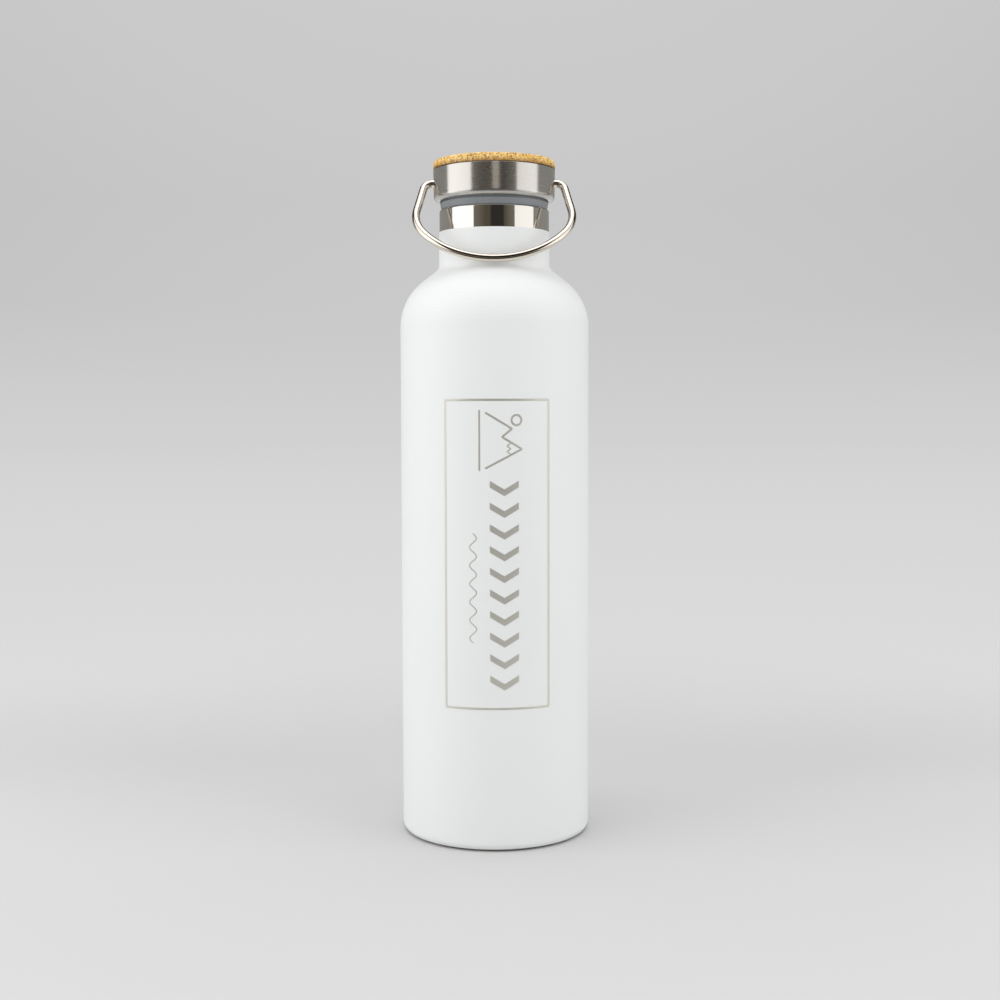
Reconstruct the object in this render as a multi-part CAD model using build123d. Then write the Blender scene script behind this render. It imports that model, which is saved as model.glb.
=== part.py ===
from build123d import *
import math
import os

# Insulated water bottle, in millimetres. The origin is the centre of the foot, and +Z is up.
# The front, where the bail hangs, faces -Y. The bail's pivots lie along X.

# ---- Outside form, measured over the powder coat ----
BODY_R = 36.5              # straight side of the body
FOOT_CORNER_R = 3.0        # bend between the steel side and the foot
SHOULDER_START_Z = 196.2   # top of the straight side
SHOULDER_R = 22.0          # round part of the shoulder
SHOULDER_TURN = 52.0       # degrees that the round part turns before the straight cone
NECK_R = 21.35
NECK_FILLET_R = 3.7        # hollow bend between cone and neck
MOUTH_Z = 240.9            # rim that the lid seals on

# ---- Double steel wall ----
COAT_T = 0.2
STEEL_T = 0.4
COAT_TOP_Z = 232.65        # above this line the neck is bare steel
COAT_END_TURN = 43.0       # degrees that the coat follows the foot corner
FOOT_INNER_R = 32.3        # the foot flange is turned in to this radius
LINER_GAP = 3.2            # from the coat's outside to the liner's outside
LINER_NECK_R = 20.0
LINER_NECK_FILLET_R = 4.0
LINER_WELD_Z = 14.0        # seam between the liner and its base cup
LINER_FLOOR_Z = 7.5
LINER_FLOOR_CORNER_R = 6.0
RIM_T = 0.8                # depth of the liner's rim flange
RIM_ROUND_R = 0.35

# ---- Base, getter and wrap ----
BASE_RIM_H = 2.5
BASE_CORNER_R = 0.8
DIMPLE_R = 5.0
DIMPLE_RISE = 1.6
PUMP_HOLE_R = 0.8
SEAL_BEAD_R = 2.6
SEAL_BEAD_H = 1.3
SEAL_BEAD_ROUND = 1.0
BASE_COVER_R = 31.2
BASE_COVER_T = 0.5
GETTER_R = 4.0
GETTER_T = 1.4
GETTER_X = 17.0            # distance of the getter from the bottle's axis
CLIP_T = 0.3
CLIP_W = 3.0
CLIP_FOOT_L = 2.0          # welded foot on each side of the clip
WRAP_T = 0.12
WRAP_LOW_Z = 18.0
WRAP_HIGH_Z = 192.0

# ---- Screw thread between the neck and the plug ----
THREAD_PITCH = 5.0
THREAD_DEPTH = 0.95
THREAD_ROOT_W = 2.2        # height of a ridge where it leaves its wall
THREAD_CREST_W = 1.0
THREAD_SINK = 0.2          # how deep a ridge is rooted in its wall
THREAD_PLAY = 0.4          # free height between the two ridges
NECK_THREAD_Z = 229.0
NECK_THREAD_H = 8.5
PLUG_THREAD_H = 8.0
PLUG_R = 18.3

# ---- Lid ----
CAP_R = 23.5
CAP_LOW_R = 23.3
CAP_BOTTOM_Z = 244.4
CAP_TOP_Z = 256.4
CAP_CORNER_R = 2.0
CAP_LIP_R = 21.0           # the lower edge of the cap shell is turned in to this radius
LID_TOP_Z = 259.8
ADHESIVE_T = 0.2
ADHESIVE_R = 22.8
BAMBOO_TOP_ROUND = 1.2
BAMBOO_LOW_ROUND = 0.25
CORE_R = 22.6
CORE_CORNER_R = 1.4
PLUG_BOTTOM_Z = 224.0
PLUG_WALL = 2.0
PLUG_BASE_T = 2.0
FOAM_CLEAR = 0.1

# ---- Seal ring ----
SEAL_CLEAR = 0.05          # under the ring and over it
SEAL_PLUG_CLEAR = 0.2      # between the ring and the plug
SEAL_TOP_R = 20.9
SEAL_LOW_R = 20.35
SEAL_ROUND_R = 0.7

# ---- Bail ----
WIRE_R = 1.5
PIVOT_Z = 251.5
BAIL_DROP = 38.6           # from the pivot line to the lowest point of the wire's centre
BAIL_FORWARD = 23.3        # how far that point hangs in front of the bottle's axis
BAIL_ARC_R = 34.15         # large arc at the bottom of the bail
BAIL_CORNER_R = 14.2       # bend between a leg and the large arc
BAIL_LEG_X = 26.66         # where a leg's line meets the pivot line
BAIL_LEG_LEAN = 11.0       # degrees that a leg leans outward
BAIL_ELBOW_R = 3.5
BAIL_END_X = 18.0
WIRE_END_CHAMFER = 0.3
PIVOT_HOLE_R = 1.6
CUT_PAST = 1.0             # how far the drill runs past the wall it cuts
BUSH_R = 2.6
BUSH_BORE_R = 1.55
BUSH_INNER_X = 17.2
BUSH_OUTER_X = 22.4
BUSH_FLOOR_T = 0.5


def polar(centre, radius, degrees):
    """Point on a circle in the (radius, height) plane."""
    angle = math.radians(degrees)
    return (centre[0] + radius * math.cos(angle), centre[1] + radius * math.sin(angle))


def lathe(edges):
    """Turned solid from a closed outline of edges drawn as (radius, height)."""
    return revolve(Plane.XZ * make_face(edges), Axis.Z)


def outline(points):
    """Closed outline of straight edges through the points."""
    return Polyline(*points, points[0]).edges()


def disc(radius, low_z, high_z):
    """Plain round plate or plug on the bottle's axis."""
    return Pos(0, 0, low_z) * Cylinder(
        radius, high_z - low_z, align=(Align.CENTER, Align.CENTER, Align.MIN)
    )


def ring(inner_r, outer_r, low_z, high_z):
    """Plain round sleeve on the bottle's axis."""
    return disc(outer_r, low_z, high_z) - disc(inner_r, low_z, high_z)


def side_curve(offset, neck_r, neck_fillet_r, low_z, high_z):
    """Edges of a wall surface from the body up the shoulder to the neck.

    The offset is measured inward from the outside of the coat. Every surface shares the centre
    of the shoulder's round part, so the walls are parallel there.
    """
    centre = (BODY_R - SHOULDER_R, SHOULDER_START_Z)
    radius = SHOULDER_R - offset
    turn = math.radians(SHOULDER_TURN)
    outward = (math.cos(turn), math.sin(turn))
    cone_top_run = neck_fillet_r * (1 - outward[0])
    cone_start = polar(centre, radius, SHOULDER_TURN)
    cone_end_r = neck_r + cone_top_run
    cone_length = (cone_start[0] - cone_end_r) / outward[1]
    cone_end = (cone_end_r, cone_start[1] + cone_length * outward[0])
    fillet_centre = (neck_r + neck_fillet_r, cone_end[1] + neck_fillet_r * outward[1])
    neck_start = (neck_r, fillet_centre[1])
    fillet_middle = polar(fillet_centre, neck_fillet_r, 180 + SHOULDER_TURN / 2)
    shoulder_start = (BODY_R - offset, SHOULDER_START_Z)
    shoulder_middle = polar(centre, radius, SHOULDER_TURN / 2)
    return [
        Line((BODY_R - offset, low_z), shoulder_start),
        ThreePointArc(shoulder_start, shoulder_middle, cone_start),
        Line(cone_start, cone_end),
        ThreePointArc(cone_end, fillet_middle, neck_start),
        Line(neck_start, (neck_r, high_z)),
    ]


def foot_arc(offset, turn):
    """Edge round the foot corner, from the given turn in degrees back to the straight side."""
    centre = (BODY_R - COAT_T - FOOT_CORNER_R, FOOT_CORNER_R)
    radius = FOOT_CORNER_R + COAT_T - offset
    return ThreePointArc(
        polar(centre, radius, -turn), polar(centre, radius, -turn / 2), polar(centre, radius, 0)
    )


def thread_ridge(wall_r, crest_r, start_z, height):
    """Helical ridge that stands from a wall to its crest, inward or outward."""
    direction = math.copysign(1, crest_r - wall_r)
    root_r = wall_r - direction * THREAD_SINK
    widening = (THREAD_ROOT_W - THREAD_CREST_W) / THREAD_DEPTH * THREAD_SINK
    half_root = (THREAD_ROOT_W + widening) / 2
    half_crest = THREAD_CREST_W / 2
    section = outline([
        (root_r, start_z - half_root),
        (crest_r, start_z - half_crest),
        (crest_r, start_z + half_crest),
        (root_r, start_z + half_root),
    ])
    path = Helix(THREAD_PITCH, height, wall_r, center=(0, 0, start_z))
    return sweep(Plane.XZ * make_face(section), path=path, is_frenet=True)


def thread_drop():
    """How far the plug's ridge lies under the neck's ridge: their flanks plus the play."""
    flank_slope = (THREAD_ROOT_W - THREAD_CREST_W) / (2 * THREAD_DEPTH)
    neck_crest_r = LINER_NECK_R - STEEL_T - THREAD_DEPTH
    plug_half_w = THREAD_ROOT_W / 2 - flank_slope * (neck_crest_r - PLUG_R)
    return plug_half_w + THREAD_CREST_W / 2 + THREAD_PLAY


# ---- Bottle ----

def make_outer_shell():
    """Drawn outer wall with the foot flange turned in and the neck open at the mouth."""
    inner = COAT_T + STEEL_T
    outside = side_curve(
        COAT_T, NECK_R - COAT_T, NECK_FILLET_R + COAT_T, FOOT_CORNER_R, MOUTH_Z - RIM_ROUND_R
    )
    inside = side_curve(inner, NECK_R - inner, NECK_FILLET_R + inner, FOOT_CORNER_R, MOUTH_Z)
    corner_x = BODY_R - COAT_T - FOOT_CORNER_R
    neck_out = NECK_R - COAT_T
    rim_centre = (neck_out - RIM_ROUND_R, MOUTH_Z - RIM_ROUND_R)
    rim = [
        ThreePointArc(
            (neck_out, rim_centre[1]), polar(rim_centre, RIM_ROUND_R, 45), (rim_centre[0], MOUTH_Z)
        ),
        Line((rim_centre[0], MOUTH_Z), (NECK_R - inner, MOUTH_Z)),
    ]
    foot = [
        Line((FOOT_INNER_R, 0), (corner_x, 0)),
        foot_arc(COAT_T, 90),
        foot_arc(inner, 90),
        Line((corner_x, STEEL_T), (FOOT_INNER_R, STEEL_T)),
        Line((FOOT_INNER_R, STEEL_T), (FOOT_INNER_R, 0)),
    ]
    return lathe(outside + rim + inside + foot)


def make_powder_coat():
    """Skin over the shell, from the foot corner to the line on the neck."""
    outside = side_curve(0, NECK_R, NECK_FILLET_R, FOOT_CORNER_R, COAT_TOP_Z)
    inside = side_curve(
        COAT_T, NECK_R - COAT_T, NECK_FILLET_R + COAT_T, FOOT_CORNER_R, COAT_TOP_Z
    )
    top = Line((NECK_R - COAT_T, COAT_TOP_Z), (NECK_R, COAT_TOP_Z))
    low_outer = foot_arc(0, COAT_END_TURN)
    low_inner = foot_arc(COAT_T, COAT_END_TURN)
    low_edge = Line(low_inner @ 0, low_outer @ 0)
    return lathe(outside + inside + [top, low_outer, low_inner, low_edge])


def make_outer_base():
    """Pressed cup in the foot: a rim, a flat floor and a raised dimple with the pump-out hole."""
    floor_z = BASE_RIM_H
    cup = disc(FOOT_INNER_R, 0, floor_z + STEEL_T)
    cup = fillet(cup.edges().filter_by(GeomType.CIRCLE).sort_by(Axis.Z)[-1], BASE_CORNER_R)
    cup += disc(DIMPLE_R + STEEL_T, floor_z, floor_z + DIMPLE_RISE + STEEL_T)
    cup -= disc(FOOT_INNER_R - STEEL_T, 0, floor_z)
    cup -= disc(DIMPLE_R, floor_z, floor_z + DIMPLE_RISE)
    return cup - disc(PUMP_HOLE_R, 0, LINER_FLOOR_Z)


def make_vacuum_seal():
    """Bead of sealing glass under the pump-out hole, with a stem in the hole."""
    top_z = BASE_RIM_H + DIMPLE_RISE
    bead = disc(SEAL_BEAD_R, top_z - SEAL_BEAD_H, top_z)
    bead = fillet(bead.edges().filter_by(GeomType.CIRCLE).sort_by(Axis.Z)[0], SEAL_BEAD_ROUND)
    return bead + disc(PUMP_HOLE_R, top_z, top_z + STEEL_T)


def make_base_cover():
    """Flat disc that hides the dimple and the seal."""
    return disc(BASE_COVER_R, BASE_RIM_H - BASE_COVER_T, BASE_RIM_H)


def make_getter():
    """Gas-absorbing pill in the vacuum space."""
    low_z = BASE_RIM_H + STEEL_T
    return Pos(GETTER_X, 0, 0) * disc(GETTER_R, low_z, low_z + GETTER_T)


def make_getter_clip():
    """Strip bent over the pill, with a welded foot on each side."""
    low_z = BASE_RIM_H + STEEL_T
    inner_half = GETTER_R
    outer_half = GETTER_R + CLIP_T
    foot_half = outer_half + CLIP_FOOT_L
    top_z = low_z + GETTER_T
    section = outline([
        (-foot_half, low_z),
        (-inner_half, low_z),
        (-inner_half, top_z),
        (inner_half, top_z),
        (inner_half, low_z),
        (foot_half, low_z),
        (foot_half, low_z + CLIP_T),
        (outer_half, low_z + CLIP_T),
        (outer_half, top_z + CLIP_T),
        (-outer_half, top_z + CLIP_T),
        (-outer_half, low_z + CLIP_T),
        (-foot_half, low_z + CLIP_T),
    ])
    strip = extrude(Plane.XZ * make_face(section), CLIP_W / 2, both=True)
    return Pos(GETTER_X, 0, 0) * strip


def make_copper_wrap():
    """Thin foil sleeve round the liner."""
    wall_r = BODY_R - LINER_GAP
    return ring(wall_r, wall_r + WRAP_T, WRAP_LOW_Z, WRAP_HIGH_Z)


def make_inner_liner():
    """Inner wall from the base weld to the mouth, with the rim flange and the neck thread."""
    bore_r = LINER_NECK_R - STEEL_T
    flange_r = NECK_R - COAT_T - STEEL_T
    outside = side_curve(
        LINER_GAP, LINER_NECK_R, LINER_NECK_FILLET_R, LINER_WELD_Z, MOUTH_Z - RIM_T
    )
    inside = side_curve(
        LINER_GAP + STEEL_T, bore_r, LINER_NECK_FILLET_R + STEEL_T, LINER_WELD_Z,
        MOUTH_Z - RIM_ROUND_R
    )
    rim_centre = (bore_r + RIM_ROUND_R, MOUTH_Z - RIM_ROUND_R)
    rim = [
        Line((LINER_NECK_R, MOUTH_Z - RIM_T), (flange_r, MOUTH_Z - RIM_T)),
        Line((flange_r, MOUTH_Z - RIM_T), (flange_r, MOUTH_Z)),
        Line((flange_r, MOUTH_Z), (rim_centre[0], MOUTH_Z)),
        ThreePointArc(
            (rim_centre[0], MOUTH_Z), polar(rim_centre, RIM_ROUND_R, 135), (bore_r, rim_centre[1])
        ),
    ]
    body_r = BODY_R - LINER_GAP
    weld = Line((body_r - STEEL_T, LINER_WELD_Z), (body_r, LINER_WELD_Z))
    wall = lathe(outside + rim + inside + [weld])
    return wall + thread_ridge(bore_r, bore_r - THREAD_DEPTH, NECK_THREAD_Z, NECK_THREAD_H)


def make_liner_base():
    """Cup that closes the liner, with a generous corner."""
    outer_r = BODY_R - LINER_GAP
    cup = disc(outer_r, LINER_FLOOR_Z, LINER_WELD_Z)
    cup = fillet(cup.edges().filter_by(GeomType.CIRCLE).sort_by(Axis.Z)[0], LINER_FLOOR_CORNER_R)
    hollow = disc(outer_r - STEEL_T, LINER_FLOOR_Z + STEEL_T, LINER_WELD_Z)
    lowest = hollow.edges().filter_by(GeomType.CIRCLE).sort_by(Axis.Z)[0]
    return cup - fillet(lowest, LINER_FLOOR_CORNER_R - STEEL_T)


# ---- Seal ring ----

def make_seal_ring():
    """Silicone ring round the plug, with its lower outer edge rounded where it meets the rim."""
    inner_r = PLUG_R + SEAL_PLUG_CLEAR
    low_z = MOUTH_Z + SEAL_CLEAR
    high_z = CAP_BOTTOM_Z + STEEL_T - SEAL_CLEAR
    round_start = (SEAL_LOW_R - SEAL_ROUND_R, low_z)
    round_end = (SEAL_LOW_R, low_z + SEAL_ROUND_R)
    round_middle = polar((round_start[0], round_end[1]), SEAL_ROUND_R, -45)
    return lathe([
        Line((inner_r, low_z), round_start),
        ThreePointArc(round_start, round_middle, round_end),
        Line(round_end, (SEAL_TOP_R, CAP_BOTTOM_Z)),
        Line((SEAL_TOP_R, CAP_BOTTOM_Z), (SEAL_TOP_R, high_z)),
        Line((SEAL_TOP_R, high_z), (inner_r, high_z)),
        Line((inner_r, high_z), (inner_r, low_z)),
    ])


# ---- Lid ----

def pivot_rod(radius, inner_x, outer_x, side):
    """Round rod along the pivot line, between two distances from the axis on one side."""
    start = Plane(origin=(side * inner_x, 0, PIVOT_Z), z_dir=(side, 0, 0))
    rod = Cylinder(radius, outer_x - inner_x, align=(Align.CENTER, Align.CENTER, Align.MIN))
    return start * rod


def make_cap_shell():
    """Drawn steel cup with its lower edge rolled in and a hole on each side for the bail."""
    corner_z = CAP_BOTTOM_Z + CAP_CORNER_R
    corner = (CAP_LOW_R - CAP_CORNER_R, corner_z)
    inner_corner_r = CAP_CORNER_R - STEEL_T
    inner_top_z = CAP_TOP_Z - STEEL_T
    shell = lathe([
        Line((0, CAP_TOP_Z), (CAP_R, CAP_TOP_Z)),
        Line((CAP_R, CAP_TOP_Z), (CAP_LOW_R, corner_z)),
        ThreePointArc(
            (CAP_LOW_R, corner_z), polar(corner, CAP_CORNER_R, -45), (corner[0], CAP_BOTTOM_Z)
        ),
        Line((corner[0], CAP_BOTTOM_Z), (CAP_LIP_R, CAP_BOTTOM_Z)),
        Line((CAP_LIP_R, CAP_BOTTOM_Z), (CAP_LIP_R, CAP_BOTTOM_Z + STEEL_T)),
        Line((CAP_LIP_R, CAP_BOTTOM_Z + STEEL_T), (corner[0], CAP_BOTTOM_Z + STEEL_T)),
        ThreePointArc(
            (corner[0], CAP_BOTTOM_Z + STEEL_T),
            polar(corner, inner_corner_r, -45),
            (CAP_LOW_R - STEEL_T, corner_z),
        ),
        Line((CAP_LOW_R - STEEL_T, corner_z), (CAP_R - STEEL_T, inner_top_z)),
        Line((CAP_R - STEEL_T, inner_top_z), (0, inner_top_z)),
        Line((0, inner_top_z), (0, CAP_TOP_Z)),
    ])
    for side in (-1, 1):
        shell -= pivot_rod(PIVOT_HOLE_R, CORE_R - CUT_PAST, CAP_R + CUT_PAST, side)
    return shell


def make_bamboo_disc():
    """Wooden top of the lid, flush with the cap shell."""
    top = disc(CAP_R, CAP_TOP_Z + ADHESIVE_T, LID_TOP_Z)
    rims = top.edges().filter_by(GeomType.CIRCLE).sort_by(Axis.Z)
    top = fillet(rims[-1], BAMBOO_TOP_ROUND)
    rims = top.edges().filter_by(GeomType.CIRCLE).sort_by(Axis.Z)
    return fillet(rims[0], BAMBOO_LOW_ROUND)


def make_bamboo_adhesive():
    """Layer of glue between the cap shell and the bamboo."""
    return disc(ADHESIVE_R, CAP_TOP_Z, CAP_TOP_Z + ADHESIVE_T)


def make_cap_core():
    """Moulded plug with its thread, its sealing flange and a pocket for each pivot bush."""
    flange = disc(CORE_R, CAP_BOTTOM_Z + STEEL_T, CAP_TOP_Z - STEEL_T)
    lower_rim = flange.edges().filter_by(GeomType.CIRCLE).sort_by(Axis.Z)[0]
    flange = fillet(lower_rim, CORE_CORNER_R)
    plug = flange + disc(PLUG_R, PLUG_BOTTOM_Z, CAP_BOTTOM_Z + STEEL_T)
    roof_z = CAP_TOP_Z - STEEL_T - PLUG_WALL
    plug -= disc(PLUG_R - PLUG_WALL, PLUG_BOTTOM_Z, roof_z)
    start_z = NECK_THREAD_Z - thread_drop()
    plug += thread_ridge(PLUG_R, PLUG_R + THREAD_DEPTH, start_z, PLUG_THREAD_H)
    for side in (-1, 1):
        plug -= pivot_rod(BUSH_R, BUSH_INNER_X, CORE_R, side)
    return plug


def make_plug_foam():
    """Insulating foam in the plug's chamber."""
    roof_z = CAP_TOP_Z - STEEL_T - PLUG_WALL
    chamber_r = PLUG_R - PLUG_WALL
    return disc(chamber_r - FOAM_CLEAR, PLUG_BOTTOM_Z + PLUG_BASE_T, roof_z - FOAM_CLEAR)


def make_plug_base():
    """Disc welded into the lower end of the plug."""
    return disc(PLUG_R - PLUG_WALL, PLUG_BOTTOM_Z, PLUG_BOTTOM_Z + PLUG_BASE_T)


def make_pivot_bush(side):
    """Blind bush that one end of the bail turns in."""
    bush = pivot_rod(BUSH_R, BUSH_INNER_X, BUSH_OUTER_X, side)
    return bush - pivot_rod(BUSH_BORE_R, BUSH_INNER_X + BUSH_FLOOR_T, BUSH_OUTER_X, side)


# ---- Bail ----

def bail_half_path():
    """Edges of the right half of the wire's centre line, as (side, drop from the pivot line)."""
    lean = math.radians(BAIL_LEG_LEAN)
    along = (math.sin(lean), math.cos(lean))
    inward = (-along[1], along[0])
    elbow_run = BAIL_ELBOW_R * math.tan((math.pi / 2 - lean) / 2)
    elbow_start = (BAIL_LEG_X - elbow_run, 0)
    elbow_centre = (elbow_start[0], BAIL_ELBOW_R)
    elbow_end = polar(elbow_centre, BAIL_ELBOW_R, -BAIL_LEG_LEAN)
    elbow_middle = polar(elbow_centre, BAIL_ELBOW_R, -45 - BAIL_LEG_LEAN / 2)
    # The bend's centre is one bend radius inside the leg and lies on the circle on which a bend
    # of that radius touches the large arc from within.
    arc_centre = (0, BAIL_DROP - BAIL_ARC_R)
    base = (BAIL_LEG_X + inward[0] * BAIL_CORNER_R, inward[1] * BAIL_CORNER_R - arc_centre[1])
    run = base[0] * along[0] + base[1] * along[1]
    reach = BAIL_ARC_R - BAIL_CORNER_R
    leg_run = math.sqrt(run ** 2 + reach ** 2 - base[0] ** 2 - base[1] ** 2) - run
    corner_centre = (base[0] + along[0] * leg_run, base[1] + arc_centre[1] + along[1] * leg_run)
    leg_end = (BAIL_LEG_X + along[0] * leg_run, along[1] * leg_run)
    turn = math.degrees(math.atan2(corner_centre[1] - arc_centre[1], corner_centre[0]))
    corner_middle = polar(corner_centre, BAIL_CORNER_R, (turn - BAIL_LEG_LEAN) / 2)
    arc_start = polar(arc_centre, BAIL_ARC_R, turn)
    arc_middle = polar(arc_centre, BAIL_ARC_R, (turn + 90) / 2)
    return [
        Line((BAIL_END_X, 0), elbow_start),
        ThreePointArc(elbow_start, elbow_middle, elbow_end),
        Line(elbow_end, leg_end),
        ThreePointArc(leg_end, corner_middle, arc_start),
        ThreePointArc(arc_start, arc_middle, (0, BAIL_DROP)),
    ]


def make_bail_handle():
    """Round wire bent to a loop, hanging forward against the neck."""
    hang = math.asin(BAIL_FORWARD / BAIL_DROP)
    drop_dir = Vector(0, -math.sin(hang), -math.cos(hang))
    plane = Plane(origin=(0, 0, PIVOT_Z), x_dir=(1, 0, 0), z_dir=Vector(1, 0, 0).cross(drop_dir))
    right = [plane * edge for edge in bail_half_path()]
    section = Plane(origin=(BAIL_END_X, 0, PIVOT_Z), z_dir=(1, 0, 0)) * Circle(WIRE_R)
    half = sweep(section, path=Wire(right))
    end_face = half.faces().filter_by(GeomType.PLANE).sort_by(Axis.Z)[-1]
    half = chamfer(end_face.edges(), WIRE_END_CHAMFER)
    return half + mirror(half, Plane.YZ)


PARTS = {
    "outer_shell": make_outer_shell,
    "powder_coat": make_powder_coat,
    "outer_base": make_outer_base,
    "vacuum_seal": make_vacuum_seal,
    "base_cover": make_base_cover,
    "getter": make_getter,
    "getter_clip": make_getter_clip,
    "copper_wrap": make_copper_wrap,
    "inner_liner": make_inner_liner,
    "liner_base": make_liner_base,
    "seal_ring": make_seal_ring,
    "cap_shell": make_cap_shell,
    "bamboo_disc": make_bamboo_disc,
    "bamboo_adhesive": make_bamboo_adhesive,
    "cap_core": make_cap_core,
    "plug_foam": make_plug_foam,
    "plug_base": make_plug_base,
    "pivot_bush_left": lambda: make_pivot_bush(-1),
    "pivot_bush_right": lambda: make_pivot_bush(1),
    "bail_handle": make_bail_handle,
}

os.makedirs("parts", exist_ok=True)
for name, make in PARTS.items():
    export_step(make(), f"parts/{name}.step")
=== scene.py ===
"""Looks of the insulated bottle: turned skins, polished and brushed steel, bamboo and engraving.

Everything is in metres in the frame's own axes: the foot stands on z = 0, the bail hangs at -Y.
Sizes written in millimetres are turned into metres by MM.
"""
import math

import bmesh
import bpy
from mathutils import Matrix, Vector


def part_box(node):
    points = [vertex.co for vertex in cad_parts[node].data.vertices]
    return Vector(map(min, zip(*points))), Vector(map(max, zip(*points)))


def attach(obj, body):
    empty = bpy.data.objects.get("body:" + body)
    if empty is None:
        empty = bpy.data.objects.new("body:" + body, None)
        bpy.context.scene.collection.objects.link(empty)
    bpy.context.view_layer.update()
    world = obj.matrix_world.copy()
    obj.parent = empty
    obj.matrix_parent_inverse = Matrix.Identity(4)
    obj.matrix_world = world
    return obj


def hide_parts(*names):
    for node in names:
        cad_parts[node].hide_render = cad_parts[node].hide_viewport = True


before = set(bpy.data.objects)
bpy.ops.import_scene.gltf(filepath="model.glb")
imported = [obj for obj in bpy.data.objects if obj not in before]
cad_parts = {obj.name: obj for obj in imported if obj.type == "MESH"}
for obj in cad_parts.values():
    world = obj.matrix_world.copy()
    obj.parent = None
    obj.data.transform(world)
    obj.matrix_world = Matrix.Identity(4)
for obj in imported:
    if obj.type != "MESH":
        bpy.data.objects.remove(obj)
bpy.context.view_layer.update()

MM = 0.001

# ---- Sizes from the frame ----
BODY_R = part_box("powder_coat")[1].x
COAT_TOP_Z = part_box("powder_coat")[1].z
COAT_LOW_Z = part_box("powder_coat")[0].z
STEEL_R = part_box("outer_shell")[1].x
MOUTH_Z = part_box("outer_shell")[1].z
COAT_T = BODY_R - STEEL_R
CAP_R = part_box("cap_shell")[1].x
CAP_LOW_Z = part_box("cap_shell")[0].z
CAP_TOP_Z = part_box("cap_shell")[1].z
BAMBOO_LOW_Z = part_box("bamboo_disc")[0].z
LID_TOP_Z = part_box("bamboo_disc")[1].z
SEAL_LOW_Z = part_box("seal_ring")[0].z
SEAL_TOP_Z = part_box("seal_ring")[1].z
SEAL_TOP_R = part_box("seal_ring")[1].x
COVER_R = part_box("base_cover")[1].x
COVER_LOW_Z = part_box("base_cover")[0].z
COVER_TOP_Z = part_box("base_cover")[1].z

# ---- Sizes that the frame's boxes don't give ----
WALL_T = 0.4 * MM
SHOULDER_START_Z = 196.2 * MM
SHOULDER_R = 22.0 * MM
SHOULDER_TURN = math.radians(52.0)
NECK_R = 21.35 * MM
NECK_FILLET_R = 3.7 * MM
FOOT_CORNER_R = 3.0 * MM
FOOT_INNER_R = 32.3 * MM
FOOT_FLAT_GAP = 0.2 * MM     # the flat of the foot stops this far short of its bend
RIM_ROUND_R = 0.35 * MM
CAP_LOW_R = 23.3 * MM
CAP_CORNER_R = 2.0 * MM
CAP_LIP_R = 21.0 * MM
CAP_EDGE_R = 0.25 * MM
CAP_LIP_ROUND = 0.12 * MM
CAP_RING_STEP = 0.6 * MM     # height between rings on the cap's side, fine enough for the holes
BAMBOO_TOP_ROUND = 1.2 * MM
BAMBOO_LOW_ROUND = 0.25 * MM
SEAL_LOW_R = 20.35 * MM
SEAL_ROUND_R = 0.7 * MM
SEAL_INNER_R = 18.5 * MM
SEAL_GROOVE = 0.6 * MM       # depth and height of the groove under the cap
SEAL_EDGE_R = 0.2 * MM
SEAL_TOP_ROUND = 0.15 * MM
GROOVE_EDGE_R = 0.1 * MM
COVER_LOW_ROUND = 0.2 * MM
COVER_TOP_ROUND = 0.1 * MM
SEAM = 0.01 * MM             # keeps the first and last points of a closed outline apart

# ---- Bail ----
WIRE_R = 1.5 * MM
PIVOT_Z = 251.5 * MM
BAIL_DROP = 38.6 * MM
BAIL_FORWARD = 23.3 * MM
BAIL_ARC_R = 34.15 * MM
BAIL_CORNER_R = 14.2 * MM
BAIL_LEG_X = 26.66 * MM
BAIL_LEG_LEAN = math.radians(11.0)
BAIL_ELBOW_R = 3.5 * MM
BAIL_ELBOW_GAP = 0.2 * MM    # the straight end stops this far short of the elbow
BAIL_END_X = 18.0 * MM
WIRE_END_ROUND = 0.3 * MM
WIRE_SIDES = 40
PIVOT_HOLE_R = 1.6 * MM

# ---- Fineness of the meshes ----
TURN_SEGMENTS = 256
HOLE_SEGMENTS = 48
SHARP_ANGLE = math.radians(35)
SUPPORT_REACH = 0.25 * MM    # how far from a run's end its supporting point stands


# ---------------------------------------------------------------- shape tools

def rounded(corners, step=math.radians(4)):
    """Points of a (radius, height) path through corners, each with its own rounding radius.

    Long straight runs get a point close to each end, so that smooth shading stays true on them.
    """
    path = []
    last = len(corners) - 1
    for i, (r, z, bend) in enumerate(corners):
        here = Vector((r, z))
        if i in (0, last) or bend <= 0:
            path.append(here)
            continue
        back = (Vector(corners[i - 1][:2]) - here).normalized()
        ahead = (Vector(corners[i + 1][:2]) - here).normalized()
        opening = back.angle(ahead)
        run = bend / math.tan(opening / 2)
        centre = here + (back + ahead).normalized() * (bend / math.sin(opening / 2))
        start, end = here + back * run - centre, here + ahead * run - centre
        turn = start.angle_signed(end)
        count = max(2, math.ceil(abs(turn) / step))
        for k in range(count + 1):
            path.append(centre + Matrix.Rotation(-turn * k / count, 2) @ start)
    return supported(path)


def supported(path):
    """The path with a point a short way in from each end of its longer runs."""
    out = [path[0]]
    for a, b in zip(path, path[1:]):
        length = (b - a).length
        if length > 4 * SUPPORT_REACH:
            share = SUPPORT_REACH / length
            out += [a.lerp(b, share), a.lerp(b, 1 - share)]
        out.append(b)
    return out


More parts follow.
